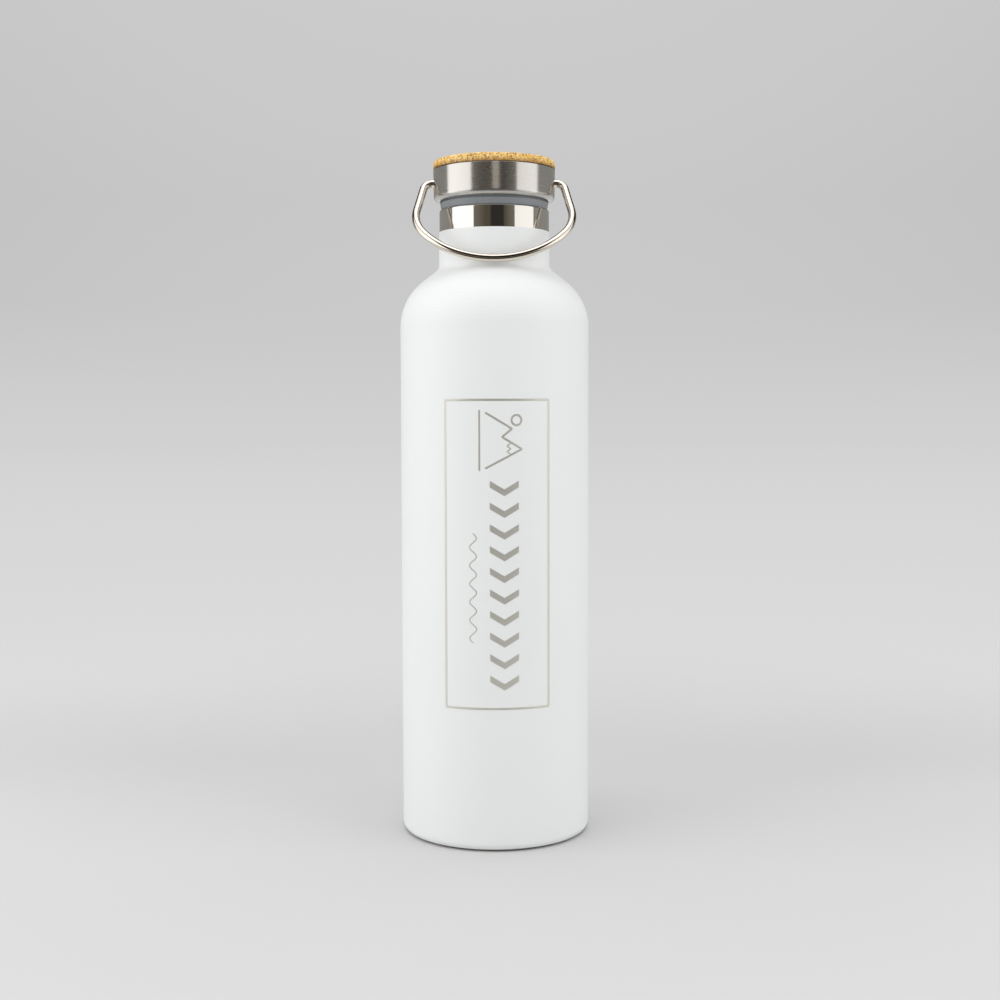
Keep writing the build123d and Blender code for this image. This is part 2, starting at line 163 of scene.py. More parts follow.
def finish_mesh(name, bm):
    """Object with smooth shading, sharp only at real edges."""
    bmesh.ops.remove_doubles(bm, verts=bm.verts, dist=1e-7)
    bmesh.ops.recalc_face_normals(bm, faces=bm.faces)
    mesh = bpy.data.meshes.new(name)
    bm.to_mesh(mesh)
    bm.free()
    for polygon in mesh.polygons:
        polygon.use_smooth = True
    mesh.set_sharp_from_angle(angle=SHARP_ANGLE)
    obj = bpy.data.objects.new(name, mesh)
    bpy.context.scene.collection.objects.link(obj)
    return obj


def lathe(name, path):
    """Closed turned piece from a closed (radius, height) path. Points on the axis become poles."""
    bm = bmesh.new()
    rings = []
    angles = [2 * math.pi * k / TURN_SEGMENTS for k in range(TURN_SEGMENTS)]
    for r, z in path:
        if r < 1e-7:
            rings.append([bm.verts.new((0, 0, z))])
            continue
        rings.append([bm.verts.new((r * math.cos(a), r * math.sin(a), z)) for a in angles])
    for low, high in zip(rings, rings[1:] + rings[:1]):
        if len(low) == 1 and len(high) == 1:
            continue
        for k in range(TURN_SEGMENTS):
            n = (k + 1) % TURN_SEGMENTS
            if len(low) == 1:
                bm.faces.new((low[0], high[n], high[k]))
            elif len(high) == 1:
                bm.faces.new((low[k], low[n], high[0]))
            else:
                bm.faces.new((low[k], low[n], high[n], high[k]))
    return finish_mesh(name, bm)


def cut_holes(obj, radius, height, reach):
    """Cuts a round hole along X through each side of a turned piece."""
    bpy.ops.mesh.primitive_cylinder_add(
        vertices=HOLE_SEGMENTS, radius=radius, depth=2 * reach, location=(0, 0, height),
        rotation=(0, math.pi / 2, 0)
    )
    cutter = bpy.context.object
    cut = obj.modifiers.new("pivot_holes", "BOOLEAN")
    cut.object = cutter
    cut.operation = "DIFFERENCE"
    cut.solver = "EXACT"
    graph = bpy.context.evaluated_depsgraph_get()
    mesh = bpy.data.meshes.new_from_object(obj.evaluated_get(graph))
    obj.modifiers.clear()
    obj.data = mesh
    bpy.data.objects.remove(cutter)
    return obj


def band(bm, low, high):
    """Joins two rings of the same length with a band of faces."""
    for k in range(len(low)):
        n = (k + 1) % len(low)
        bm.faces.new((low[k], low[n], high[n], high[k]))


def sweep_wire(name, path, plane_normal, radius, end_round):
    """Round wire along a flat path of 3-D points, with rounded ends."""
    bm = bmesh.new()
    angles = [2 * math.pi * k / WIRE_SIDES for k in range(WIRE_SIDES)]
    spokes = []
    for i in range(len(path)):
        ahead = path[min(i + 1, len(path) - 1)] - path[max(i - 1, 0)]
        across = ahead.normalized().cross(plane_normal)
        spokes.append([across * math.cos(a) + plane_normal * math.sin(a) for a in angles])
    rings = [[bm.verts.new(p + s * radius) for s in ring] for p, ring in zip(path, spokes)]
    for low, high in zip(rings, rings[1:]):
        band(bm, low, high)
    for end, outward in ((0, path[0] - path[1]), (-1, path[-1] - path[-2])):
        tip = path[end] + outward.normalized() * end_round
        inner = [bm.verts.new(tip + s * (radius - end_round)) for s in spokes[end]]
        band(bm, rings[end], inner)
        bm.faces.new(inner)
    return finish_mesh(name, bm)


# ---------------------------------------------------------------- material tools

class Nodes:
    """Short names for building the node tree of a material or of the world."""

    def __init__(self, owner, coords="Object"):
        owner.use_nodes = True
        self.tree = owner.node_tree
        self.tree.nodes.clear()
        self.coords = self.tree.nodes.new("ShaderNodeTexCoord").outputs[coords]

    def new(self, kind):
        return self.tree.nodes.new(kind)

    def link(self, source, socket):
        """Wires a source into a socket, or sets the socket when the source is a plain value."""
        if isinstance(source, bpy.types.NodeSocket):
            self.tree.links.new(source, socket)
        else:
            socket.default_value = source

    def scaled(self, x, y, z):
        """Object coordinates stretched along each axis."""
        node = self.new("ShaderNodeMapping")
        self.link(self.coords, node.inputs["Vector"])
        node.inputs["Scale"].default_value = (x, y, z)
        return node.outputs[0]

    def math(self, operation, a, b=0.0):
        node = self.new("ShaderNodeMath")
        node.operation = operation
        self.link(a, node.inputs[0])
        self.link(b, node.inputs[1])
        return node.outputs[0]

    def axis(self, name):
        node = self.new("ShaderNodeSeparateXYZ")
        self.link(self.coords, node.inputs[0])
        return node.outputs[name]

    def vector(self, x, y, z):
        node = self.new("ShaderNodeCombineXYZ")
        for source, socket in zip((x, y, z), node.inputs):
            self.link(source, socket)
        return node.outputs[0]

    def noise(self, vector, detail=3.0, rough=0.55):
        node = self.new("ShaderNodeTexNoise")
        self.link(vector, node.inputs["Vector"])
        node.inputs["Scale"].default_value = 1.0
        node.inputs["Detail"].default_value = detail
        node.inputs["Roughness"].default_value = rough
        return node.outputs["Fac"]

    def cells(self, vector, output="Distance"):
        node = self.new("ShaderNodeTexVoronoi")
        self.link(vector, node.inputs["Vector"])
        node.inputs["Scale"].default_value = 1.0
        return node.outputs[output]

    def warped(self, vector, amount):
        """The coordinates pushed about by a noise of their own scale."""
        noise = self.new("ShaderNodeTexNoise")
        self.link(vector, noise.inputs["Vector"])
        noise.inputs["Scale"].default_value = 1.4
        push = self.new("ShaderNodeVectorMath")
        push.operation = "MULTIPLY_ADD"
        self.link(noise.outputs["Color"], push.inputs[0])
        push.inputs[1].default_value = (amount, amount, amount)
        self.link(vector, push.inputs[2])
        return push.outputs[0]

    def remap(self, value, low, high, to_low=0.0, to_high=1.0, smooth=False):
        node = self.new("ShaderNodeMapRange")
        node.interpolation_type = "SMOOTHSTEP" if smooth else "LINEAR"
        self.link(value, node.inputs["Value"])
        node.inputs["From Min"].default_value = low
        node.inputs["From Max"].default_value = high
        node.inputs["To Min"].default_value = to_low
        node.inputs["To Max"].default_value = to_high
        return node.outputs["Result"]

    def mix(self, fac, a, b):
        """Blend of two colours."""
        node = self.new("ShaderNodeMix")
        node.data_type = "RGBA"
        self.link(fac, node.inputs["Factor"])
        for source, socket in ((a, node.inputs[6]), (b, node.inputs[7])):
            self.link(rgba(source), socket)
        return node.outputs[2]

    def ramp(self, fac, stops):
        node = self.new("ShaderNodeValToRGB")
        self.link(fac, node.inputs[0])
        elements = node.color_ramp.elements
        while len(elements) < len(stops):
            elements.new(0.5)
        for element, (position, colour) in zip(elements, stops):
            element.position = position
            element.color = rgba(colour)
        return node.outputs[0]

    def bump(self, height, distance, strength=1.0, below=None):
        node = self.new("ShaderNodeBump")
        self.link(height, node.inputs["Height"])
        node.inputs["Distance"].default_value = distance
        node.inputs["Strength"].default_value = strength
        if below is not None:
            self.link(below, node.inputs["Normal"])
        return node.outputs[0]

    def reach(self, x, y):
        """Distance from the bottle's axis."""
        square = self.math("ADD", self.math("MULTIPLY", x, x), self.math("MULTIPLY", y, y))
        return self.math("SQRT", square)

    def turned(self, around, along):
        """Coordinates whose fine axis runs across a lathe's marks, on walls and on flats alike."""
        x, y, z = self.axis("X"), self.axis("Y"), self.axis("Z")
        fine = self.math("MULTIPLY", self.math("ADD", self.reach(x, y), z), along)
        wide = [self.math("MULTIPLY", side, around) for side in (x, y)]
        return self.vector(*wide, fine)

    def radial_tangent(self):
        node = self.new("ShaderNodeTangent")
        node.direction_type = "RADIAL"
        node.axis = "Z"
        return node.outputs[0]


class Surface(Nodes):
    """A material's nodes, with one Principled shader."""

    def __init__(self, name):
        self.material = bpy.data.materials.new(name)
        super().__init__(self.material)
        self.shader = self.new("ShaderNodeBsdfPrincipled")
        self.output = self.new("ShaderNodeOutputMaterial")
        self.link(self.shader.outputs[0], self.output.inputs["Surface"])

    def set(self, **values):
        for key, value in values.items():
            self.link(value, self.shader.inputs[key.replace("_", " ")])


def rgba(colour):
    """A colour with its alpha, or the socket it already is."""
    if isinstance(colour, bpy.types.NodeSocket):
        return colour
    return (*colour, 1.0) if len(colour) == 3 else tuple(colour)


def wear(obj, material):
    """Gives an object one material."""
    obj.data.materials.clear()
    obj.data.materials.append(material)


# ---------------------------------------------------------------- materials

def white_coat():
    """Satin powder coat: fine orange peel and faint clouding."""
    n = Surface("white_coat")
    cloud = n.noise(n.scaled(35, 35, 18), detail=2)
    peel = n.noise(n.scaled(1500, 1500, 1500), detail=2)
    grit = n.noise(n.scaled(5200, 5200, 5200), detail=1)
    colour = n.mix(cloud, (0.842, 0.858, 0.852), (0.866, 0.882, 0.876))
    rough = n.remap(grit, 0.3, 0.7, 0.40, 0.50)
    soft = n.bump(peel, 0.000035, 0.55)
    normal = n.bump(grit, 0.000008, 0.5, below=soft)
    n.set(Base_Color=colour, Roughness=rough, Normal=normal, Specular_IOR_Level=0.42)
    return n.material


def polished_steel():
    """Mirror-polished stainless, with the faint ring marks of the buffing wheel."""
    n = Surface("polished_steel")
    marks = n.noise(n.turned(140, 9000), detail=3)
    smear = n.noise(n.scaled(160, 160, 160), detail=2)
    rough = n.remap(smear, 0.3, 0.7, 0.045, 0.085)
    normal = n.bump(marks, 0.0000012, 0.5)
    n.set(Base_Color=(0.72, 0.695, 0.655, 1), Metallic=1.0, Roughness=rough, Normal=normal)
    return n.material


def brushed_steel():
    """Turned and brushed stainless: fine marks run round the lid."""
    n = Surface("brushed_steel")
    fine = n.noise(n.turned(160, 16000), detail=3, rough=0.6)
    coarse = n.noise(n.turned(110, 5200), detail=2)
    marks = n.math("ADD", n.math("MULTIPLY", fine, 0.7), n.math("MULTIPLY", coarse, 0.3))
    colour = n.mix(n.remap(marks, 0.35, 0.65), (0.59, 0.57, 0.535), (0.65, 0.63, 0.595))
    rough = n.remap(marks, 0.35, 0.65, 0.22, 0.28)
    normal = n.bump(marks, 0.0000018, 0.4)
    n.set(Base_Color=colour, Metallic=1.0, Roughness=rough, Normal=normal, Anisotropic=0.92,
          Anisotropic_Rotation=0.25, Tangent=n.radial_tangent())
    return n.material


def bail_steel():
    """Polished wire with faint drawing marks and a warm cast."""
    n = Surface("bail_steel")
    smear = n.noise(n.scaled(260, 260, 260), detail=3)
    streak = n.noise(n.scaled(3000, 500, 500), detail=3)
    colour = n.mix(streak, (0.70, 0.64, 0.555), (0.79, 0.735, 0.65))
    rough = n.remap(smear, 0.3, 0.7, 0.06, 0.10)
    n.set(Base_Color=colour, Metallic=1.0, Roughness=rough)
    return n.material


def plain_steel():
    """Drawn steel of the base, with lathe marks."""
    n = Surface("plain_steel")
    marks = n.noise(n.turned(60, 8000), detail=3, rough=0.6)
    rough = n.remap(marks, 0.3, 0.7, 0.26, 0.4)
    normal = n.bump(marks, 0.000004, 0.5)
    n.set(Base_Color=(0.60, 0.585, 0.565, 1), Metallic=1.0, Roughness=rough, Normal=normal,
          Anisotropic=0.6, Anisotropic_Rotation=0.25, Tangent=n.radial_tangent())
    return n.material


def engraved_steel():
    """Steel laid bare by the laser: fine scan lines and a matt, slightly oxidised surface."""
    n = Surface("engraved_steel")
    lines = n.noise(n.scaled(500, 500, 9000), detail=2)
    cloud = n.noise(n.scaled(240, 240, 240), detail=2)
    colour = n.mix(cloud, (0.69, 0.678, 0.61), (0.77, 0.757, 0.685))
    rough = n.remap(lines, 0.3, 0.7, 0.38, 0.48)
    n.set(Base_Color=colour, Metallic=0.6, Roughness=rough, Normal=n.bump(lines, 0.000003, 0.4))
    return n.material


def grey_silicone():
    """Soft grey silicone with a dusty, faintly pitted skin."""
    n = Surface("grey_silicone")
    dust = n.noise(n.scaled(900, 900, 900), detail=4)
    pits = n.noise(n.scaled(5000, 5000, 5000), detail=2)
    colour = n.mix(dust, (0.215, 0.232, 0.245), (0.262, 0.28, 0.29))
    rough = n.remap(pits, 0.3, 0.7, 0.42, 0.56)
    n.set(Base_Color=colour, Roughness=rough, Normal=n.bump(pits, 0.00001, 0.4),
          Sheen_Weight=0.08)
    return n.material


def bamboo():
    """Bamboo block with its fibres along Y: streaks on the top and sides, fibre ends in front.

    Strips are glued side by side. Each fibre bundle is a dark dot where it is cut across and a
    long thin streak where it is cut along. The side grows darker towards its lower edge.
    """
    n = Surface("bamboo")
    strip_w, glue_w, lower_edge_dark_h = 6.3 * MM, 0.07 * MM, 1.9 * MM
    strips = n.math("FLOOR", n.math("DIVIDE", n.axis("X"), strip_w))
    tone = n.noise(n.vector(n.math("MULTIPLY", strips, 7.31), 0.0, 0.0), detail=0)
    joint = n.math("PINGPONG", n.axis("X"), strip_w / 2)
    seam = n.remap(joint, 0.0, glue_w, 1.0, 0.0)
    grain = n.noise(n.scaled(900, 16, 900), detail=4, rough=0.65)
    base = n.mix(n.remap(grain, 0.35, 0.65), (0.90, 0.475, 0.085), (1.0, 0.69, 0.195))
    toned = n.mix(n.remap(tone, 0.3, 0.7, 0.0, 0.28), base, (0.68, 0.36, 0.08))
    pulp = n.cells(n.warped(n.scaled(1450, 40, 1450), 1.1))
    pale = n.mix(n.remap(pulp, 0.1, 0.65, 1.0, 0.0, smooth=True), toned, (1.0, 0.86, 0.52))
    fibres = n.warped(n.scaled(1650, 30, 1650), 1.2)
    core = n.math("SUBTRACT", n.cells(fibres),
                  n.math("MULTIPLY", n.cells(fibres, "Color"), 0.22))
    dots = n.remap(core, 0.10, 0.45, 0.95, 0.0, smooth=True)
    dotted = n.mix(dots, pale, (0.27, 0.105, 0.018))
    glued = n.mix(n.math("MULTIPLY", seam, 0.45), dotted, (0.20, 0.10, 0.035))
    # darkens the side towards its lower edge
    lower_edge_dark = n.remap(n.axis("Z"), BAMBOO_LOW_Z, BAMBOO_LOW_Z + lower_edge_dark_h, 0.62, 0.0, smooth=True)
    colour = n.mix(lower_edge_dark, glued, (0.22, 0.09, 0.02))
    height = n.math("SUBTRACT", grain, n.math("MULTIPLY", dots, 0.5))
    rough = n.remap(grain, 0.3, 0.7, 0.42, 0.58)
    n.set(Base_Color=colour, Roughness=rough, Normal=n.bump(height, 0.00003, 0.45),
          Specular_IOR_Level=0.2)
    return n.material


def moulded(name, colour, rough):
    """Moulded plastic with a fine spark texture and faint flow marks."""
    n = Surface(name)
    spark = n.noise(n.scaled(4200, 4200, 4200), detail=2)
    flow = n.noise(n.scaled(120, 120, 60), detail=2)
    darker = tuple(c * 0.9 for c in colour)
    n.set(Base_Color=n.mix(flow, darker, colour),
          Roughness=n.remap(spark, 0.3, 0.7, rough - 0.06, rough + 0.06),
          Normal=n.bump(spark, 0.00001, 0.35))
    return n.material


def foil():
    """Crinkled copper foil."""
    n = Surface("copper_foil")
    crinkle = n.noise(n.scaled(400, 400, 400), detail=4)
    n.set(Base_Color=(0.80, 0.44, 0.28, 1), Metallic=1.0,
          Roughness=n.remap(crinkle, 0.3, 0.7, 0.2, 0.35), Normal=n.bump(crinkle, 0.00004, 0.6))
    return n.material


def sealing_glass():
    """Cloudy green-grey sealing glass."""
    n = Surface("seal_glass")
    haze = n.noise(n.scaled(900, 900, 900), detail=2)
    n.set(Base_Color=n.mix(haze, (0.45, 0.52, 0.47), (0.62, 0.68, 0.63)), Roughness=0.12,
          Transmission_Weight=0.35)
    return n.material


def pressed_powder():
    """Dark sintered metal of the getter pill."""
    n = Surface("getter_alloy")
    grains = n.cells(n.scaled(6000, 6000, 6000))
    n.set(Base_Color=n.mix(grains, (0.22, 0.22, 0.225), (0.34, 0.34, 0.35)), Metallic=0.6,
          Roughness=0.6, Normal=n.bump(grains, 0.00003, 0.5))
    return n.material


# ---------------------------------------------------------------- the bottle's skins

def side_corners(offset, neck_r, neck_fillet, low_z, high_z):
    """Corners of a wall surface, from the body up the shoulder to the neck."""
    radius = SHOULDER_R - offset
    body_r = BODY_R - offset
    shoulder_z = SHOULDER_START_Z + radius * math.tan(SHOULDER_TURN / 2)
    neck_z = shoulder_z + (body_r - neck_r) / math.tan(SHOULDER_TURN)
    return [
        (body_r, low_z, 0),
        (body_r, shoulder_z, radius),
        (neck_r, neck_z, neck_fillet),
        (neck_r, high_z, 0),
    ]


def foot_points(offset, turn, steps=16):
    """Points round the foot corner, from the given turn back up to the straight side."""
    centre = Vector((BODY_R - COAT_T - FOOT_CORNER_R, FOOT_CORNER_R))
    radius = FOOT_CORNER_R + COAT_T - offset
    angles = [-turn * (1 - k / steps) for k in range(steps + 1)]
    return [centre + radius * Vector((math.cos(a), math.sin(a))) for a in angles]


def build_coat():
    """Powder coat with a softly rounded edge at the neck line and at the foot."""
    edge = COAT_T * 0.45
    outer = side_corners(0, NECK_R, NECK_FILLET_R, FOOT_CORNER_R, COAT_TOP_Z)
    outer[-1] = (NECK_R, COAT_TOP_Z, edge)
    outer.append((NECK_R - COAT_T, COAT_TOP_Z, 0))
    inner = side_corners(COAT_T, NECK_R - COAT_T, NECK_FILLET_R + COAT_T, FOOT_CORNER_R,
                         COAT_TOP_Z - SEAM)
    turn = math.asin((FOOT_CORNER_R - COAT_LOW_Z) / (FOOT_CORNER_R + COAT_T))
    path = foot_points(0, turn)[:-1] + rounded(outer) + rounded(inner)[::-1]
    path += foot_points(COAT_T, turn)[::-1][1:]
    return lathe("powder_coat_skin", path)


def build_shell():
    """Steel outer shell: polished neck band, mouth rim and turned-in foot."""
    neck = NECK_R - COAT_T
    inside = COAT_T + WALL_T
    outer = side_corners(COAT_T, neck, NECK_FILLET_R + COAT_T, FOOT_CORNER_R, MOUTH_Z)
    outer[-1] = (neck, MOUTH_Z, RIM_ROUND_R)
    outer.append((NECK_R - inside, MOUTH_Z, 0))
    inner = side_corners(inside, NECK_R - inside, NECK_FILLET_R + inside, FOOT_CORNER_R,
                         MOUTH_Z - SEAM)
    flat_r = BODY_R - COAT_T - FOOT_CORNER_R - FOOT_FLAT_GAP
    foot = [Vector((FOOT_INNER_R, 0)), Vector((flat_r, 0))]
    foot_up = [Vector((flat_r, WALL_T)), Vector((FOOT_INNER_R, WALL_T))]
    quarter = math.pi / 2
    path = foot + foot_points(COAT_T, quarter)[:-1] + rounded(outer) + rounded(inner)[::-1]
    path += foot_points(inside, quarter)[::-1][1:] + foot_up
    return lathe("outer_shell_steel", path)


def build_seal():
    """Silicone ring with a rounded lower lip and a narrow groove just under the cap."""
    groove_r = SEAL_TOP_R - SEAL_GROOVE
    middle_z = (SEAL_LOW_Z + SEAL_TOP_Z) / 2
    corners = [
        (SEAL_INNER_R, middle_z, 0),
        (SEAL_INNER_R, SEAL_LOW_Z, SEAL_EDGE_R),
        (SEAL_LOW_R, SEAL_LOW_Z, SEAL_ROUND_R),
        (SEAL_TOP_R, CAP_LOW_Z - SEAL_GROOVE, SEAL_EDGE_R),
        (groove_r, CAP_LOW_Z - SEAL_GROOVE, GROOVE_EDGE_R),
        (groove_r, SEAL_TOP_Z, GROOVE_EDGE_R),
        (SEAL_INNER_R, SEAL_TOP_Z, SEAL_TOP_ROUND),
        (SEAL_INNER_R, middle_z + SEAM, 0),
    ]
    return lathe("seal_ring_skin", rounded(corners, math.radians(9)))


def build_cap():
    """Drawn cap shell with a rolled lower edge, a crisp top edge and the two pivot holes."""
    outer = [
        (CAP_LIP_R, CAP_LOW_Z + WALL_T, 0),
        (CAP_LIP_R, CAP_LOW_Z, CAP_LIP_ROUND),
        (CAP_LOW_R, CAP_LOW_Z, CAP_CORNER_R),
        (CAP_R, CAP_TOP_Z, CAP_EDGE_R),
        (0, CAP_TOP_Z, 0),
    ]
    inner = [
        (0, CAP_TOP_Z - WALL_T, 0),
        (CAP_R - WALL_T, CAP_TOP_Z - WALL_T, 0),
        (CAP_LOW_R - WALL_T, CAP_LOW_Z + WALL_T, CAP_CORNER_R - WALL_T),
        (CAP_LIP_R + SEAM, CAP_LOW_Z + WALL_T, 0),
    ]
    outside = rounded(outer)
    dense = []
    for a, b in zip(outside, outside[1:]):
        count = max(1, round(abs(b.y - a.y) / CAP_RING_STEP))
        dense += [a.lerp(b, k / count) for k in range(count)]
    dense.append(outside[-1])
    cap = lathe("cap_shell_skin", dense + rounded(inner))
    return cut_holes(cap, PIVOT_HOLE_R, PIVOT_Z, CAP_R * 1.2)


def build_bamboo():
    """Bamboo disc with an eased top edge."""
    corners = [
        (0, BAMBOO_LOW_Z, 0),
        (CAP_R, BAMBOO_LOW_Z, BAMBOO_LOW_ROUND),
        (CAP_R, LID_TOP_Z, BAMBOO_TOP_ROUND),
        (0, LID_TOP_Z, 0),
    ]
    return lathe("bamboo_top", rounded(corners, math.radians(7)))


def build_base_cover():
    """Pressed disc under the bottle, with an eased edge."""
    corners = [
        (0, COVER_LOW_Z, 0),
        (COVER_R, COVER_LOW_Z, COVER_LOW_ROUND),
        (COVER_R, COVER_TOP_Z, COVER_TOP_ROUND),
        (0, COVER_TOP_Z, 0),
    ]
    return lathe("base_cover_disc", rounded(corners, math.radians(15)))


# ---------------------------------------------------------------- the bail

def arc_points(centre, radius, start, end, step=math.radians(3)):
    """Points on an arc in the bail's own plane."""
    count = max(2, math.ceil(abs(end - start) / step))
    angles = [start + (end - start) * k / count for k in range(count + 1)]
    return [centre + radius * Vector((math.cos(a), math.sin(a))) for a in angles]


def bail_half():
    """Centre line of the right half, as (side, drop), from the lid to the lowest point."""
    along = Vector((math.sin(BAIL_LEG_LEAN), math.cos(BAIL_LEG_LEAN)))
    inward = Vector((-along.y, along.x))
    elbow_run = BAIL_ELBOW_R * math.tan((math.pi / 2 - BAIL_LEG_LEAN) / 2)
    elbow = Vector((BAIL_LEG_X - elbow_run, BAIL_ELBOW_R))
    arc_centre = Vector((0, BAIL_DROP - BAIL_ARC_R))
    base = Vector((BAIL_LEG_X, 0)) + inward * BAIL_CORNER_R - arc_centre
    run = base.dot(along)
    reach = BAIL_ARC_R - BAIL_CORNER_R
    leg = math.sqrt(run ** 2 + reach ** 2 - base.length_squared) - run
    corner = arc_centre + base + along * leg
    turn = math.atan2(corner.y - arc_centre.y, corner.x)
    points = [Vector((BAIL_END_X, 0)), Vector((elbow.x - BAIL_ELBOW_GAP, 0))]
    points += arc_points(elbow, BAIL_ELBOW_R, -math.pi / 2, -BAIL_LEG_LEAN, math.radians(5))
    points += arc_points(corner, BAIL_CORNER_R, -BAIL_LEG_LEAN, turn)
    points += arc_points(arc_centre, BAIL_ARC_R, turn, math.pi / 2, math.radians(1.5))[1:]
    return points


def build_bail():
    """Wire bail hanging forward on the neck."""
    hang = math.asin(BAIL_FORWARD / BAIL_DROP)
    drop = Vector((0, -math.sin(hang), -math.cos(hang)))
    right = bail_half()
    flat = [Vector((-p.x, p.y)) for p in right[:-1]] + right[::-1]
    path = [Vector((p.x, 0, PIVOT_Z)) + drop * p.y for p in flat]
    normal = drop.cross(Vector((1, 0, 0)))
    return sweep_wire("bail_wire", path, normal, WIRE_R, WIRE_END_ROUND)


# ---------------------------------------------------------------- engraving

MARK_PROUD = 0.012 * MM      # the marks stand this far out of the coat, so that they show
MARK_LINE = 0.8 * MM
FRAME_LINE = 0.88 * MM
THIN_LINE = 0.48 * MM
PANEL_MIDDLE = 1.05 * MM     # the laser's frame sits slightly right of the front line
PANEL_HALF_W = 20.05 * MM    # half of the frame's width, measured round the body
PANEL_LOW_Z = 53.95 * MM
PANEL_HIGH_Z = 168.05 * MM
STROKE_STEP = 0.5 * MM       # longest straight bit of a stroke, so that it follows the body
FILL_CELL = 0.8 * MM         # widest flat strip of a filled shape, for the same reason
PEAKS_CENTRE = (2.2 * MM, 153.2 * MM)
PEAKS_SCALE = 0.93 * MM


def wrap(x, z, lift):
    """Point on the body's front, x metres round from its middle."""
    a = x / BODY_R
    r = BODY_R + lift
    return (r * math.sin(a), -r * math.cos(a), z)


def resampled(line, closed):
    """The line with points close enough together to follow the body."""
    ends = line[1:] + line[:1] if closed else line[1:]
    out = []
    for (ax, az), (bx, bz) in zip(line, ends):
        count = max(1, math.ceil(math.hypot(bx - ax, bz - az) / STROKE_STEP))
        out += [(ax + (bx - ax) * k / count, az + (bz - az) * k / count) for k in range(count)]
    return out if closed else out + [line[-1]]


def engrave_lines(name, lines, width):
    """Flat strokes along lines of (x, z) points, laid round the body."""
    curve = bpy.data.curves.new(name + "_curve", "CURVE")
    curve.dimensions = "3D"
    curve.bevel_depth = width / 2
    curve.bevel_resolution = 2
    curve.use_fill_caps = True
    for corners, closed in lines:
        line = resampled(corners, closed)
        spline = curve.splines.new("POLY")
        spline.points.add(len(line) - 1)
        for point, (x, z) in zip(spline.points, line):
            point.co = (x, z, 0, 1)
        spline.use_cyclic_u = closed
    source = bpy.data.objects.new(name + "_source", curve)
    bpy.context.scene.collection.objects.link(source)
    graph = bpy.context.evaluated_depsgraph_get()
    mesh = bpy.data.meshes.new_from_object(source.evaluated_get(graph))
    bpy.data.objects.remove(source)
    for vertex in mesh.vertices:
        lift = max(-MARK_PROUD, min(MARK_PROUD, vertex.co.z))
        vertex.co = wrap(vertex.co.x, vertex.co.y, lift)
    mesh.name = name
    obj = bpy.data.objects.new(name, mesh)
    bpy.context.scene.collection.objects.link(obj)
    return obj


def engrave_fills(name, shapes):
    """Flat filled shapes, given as outlines of (x, z) points, laid round the body."""
    bm = bmesh.new()
    for shape in shapes:
        low = [bm.verts.new((x, z, -MARK_PROUD)) for x, z in shape]
        high = [bm.verts.new((x, z, MARK_PROUD)) for x, z in shape]
        bm.faces.new(low[::-1])
        bm.faces.new(high)
        for k in range(len(shape)):
            m = (k + 1) % len(shape)
            bm.faces.new((low[k], low[m], high[m], high[k]))
    bmesh.ops.recalc_face_normals(bm, faces=bm.faces)
    cuts = math.ceil(max(abs(v.co.x) for v in bm.verts) / FILL_CELL)
    for k in range(-cuts, cuts + 1):
        everything = bm.verts[:] + bm.edges[:] + bm.faces[:]
        bmesh.ops.bisect_plane(bm, geom=everything, plane_co=(k * FILL_CELL, 0, 0),
                               plane_no=(1, 0, 0))
    bmesh.ops.triangulate(bm, faces=bm.faces)
    for vertex in bm.verts:
        vertex.co = wrap(*vertex.co)
    return finish_mesh(name, bm)


def panel_frame():
    """Thin rectangular frame round the mark."""
    left, right = PANEL_MIDDLE - PANEL_HALF_W, PANEL_MIDDLE + PANEL_HALF_W
    corners = [(left, PANEL_HIGH_Z), (right, PANEL_HIGH_Z), (right, PANEL_LOW_Z),
               (left, PANEL_LOW_Z)]
    return engrave_lines("engraved_frame", [(corners, True)], FRAME_LINE)


def arc_line(centre, radius, start, end, count=24):
    """Points on an arc on the body's surface, with angles in degrees."""
    angles = [math.radians(start + (end - start) * k / count) for k in range(count + 1)]
    return [(centre[0] + radius * math.cos(a), centre[1] + radius * math.sin(a)) for a in angles]


def sideways(points):
    """The peaks' drawing, turned a quarter turn clockwise so that it reads down the bottle."""
    x_middle, z_middle = PEAKS_CENTRE
    return [(x_middle + y * PEAKS_SCALE, z_middle - x * PEAKS_SCALE) for x, y in points]


def peaks_mark():
    """Line drawing of two peaks with a sun and a low horizon."""
    ridge = [(-11, -6), (-4.6, 4.6), (-1.4, 0.6), (3.4, 8.6), (11, -6)]
    horizon = [(-12, -8.4), (12, -8.4)]
    sun = [(x - 8, y + 6.4) for x, y in arc_line((0, 0), 2.0, 0, 345)]
    drawings = [(ridge, False), (horizon, False), (sun, True)]
    lines = [(sideways(points), closed) for points, closed in drawings]
    return engrave_lines("engraved_peaks", lines, MARK_LINE)


def snow_mark():
    """Thin zigzag of the snow line across the higher peak."""
    snow = [(0.9, 4.2), (2.2, 2.6), (3.3, 4.1), (4.4, 2.6), (5.5, 4.2)]
    return engrave_lines("engraved_snow", [(sideways(snow), False)], THIN_LINE)


def chevron_band():
    """Bold column of filled chevrons down the middle of the panel."""
    shapes = []
    middle, half = 3.6 * MM, 5.4 * MM
    top, pitch, count = 138.5 * MM, 8.0 * MM, 10
    arm, rise = 2.5 * MM, 3.2 * MM
    for k in range(count):
        z = top - k * pitch
        shapes.append([
            (middle - half, z), (middle, z - rise), (middle + half, z),
            (middle + half, z - arm), (middle, z - rise - arm), (middle - half, z - arm),
        ])
    return engrave_fills("engraved_chevrons", shapes)


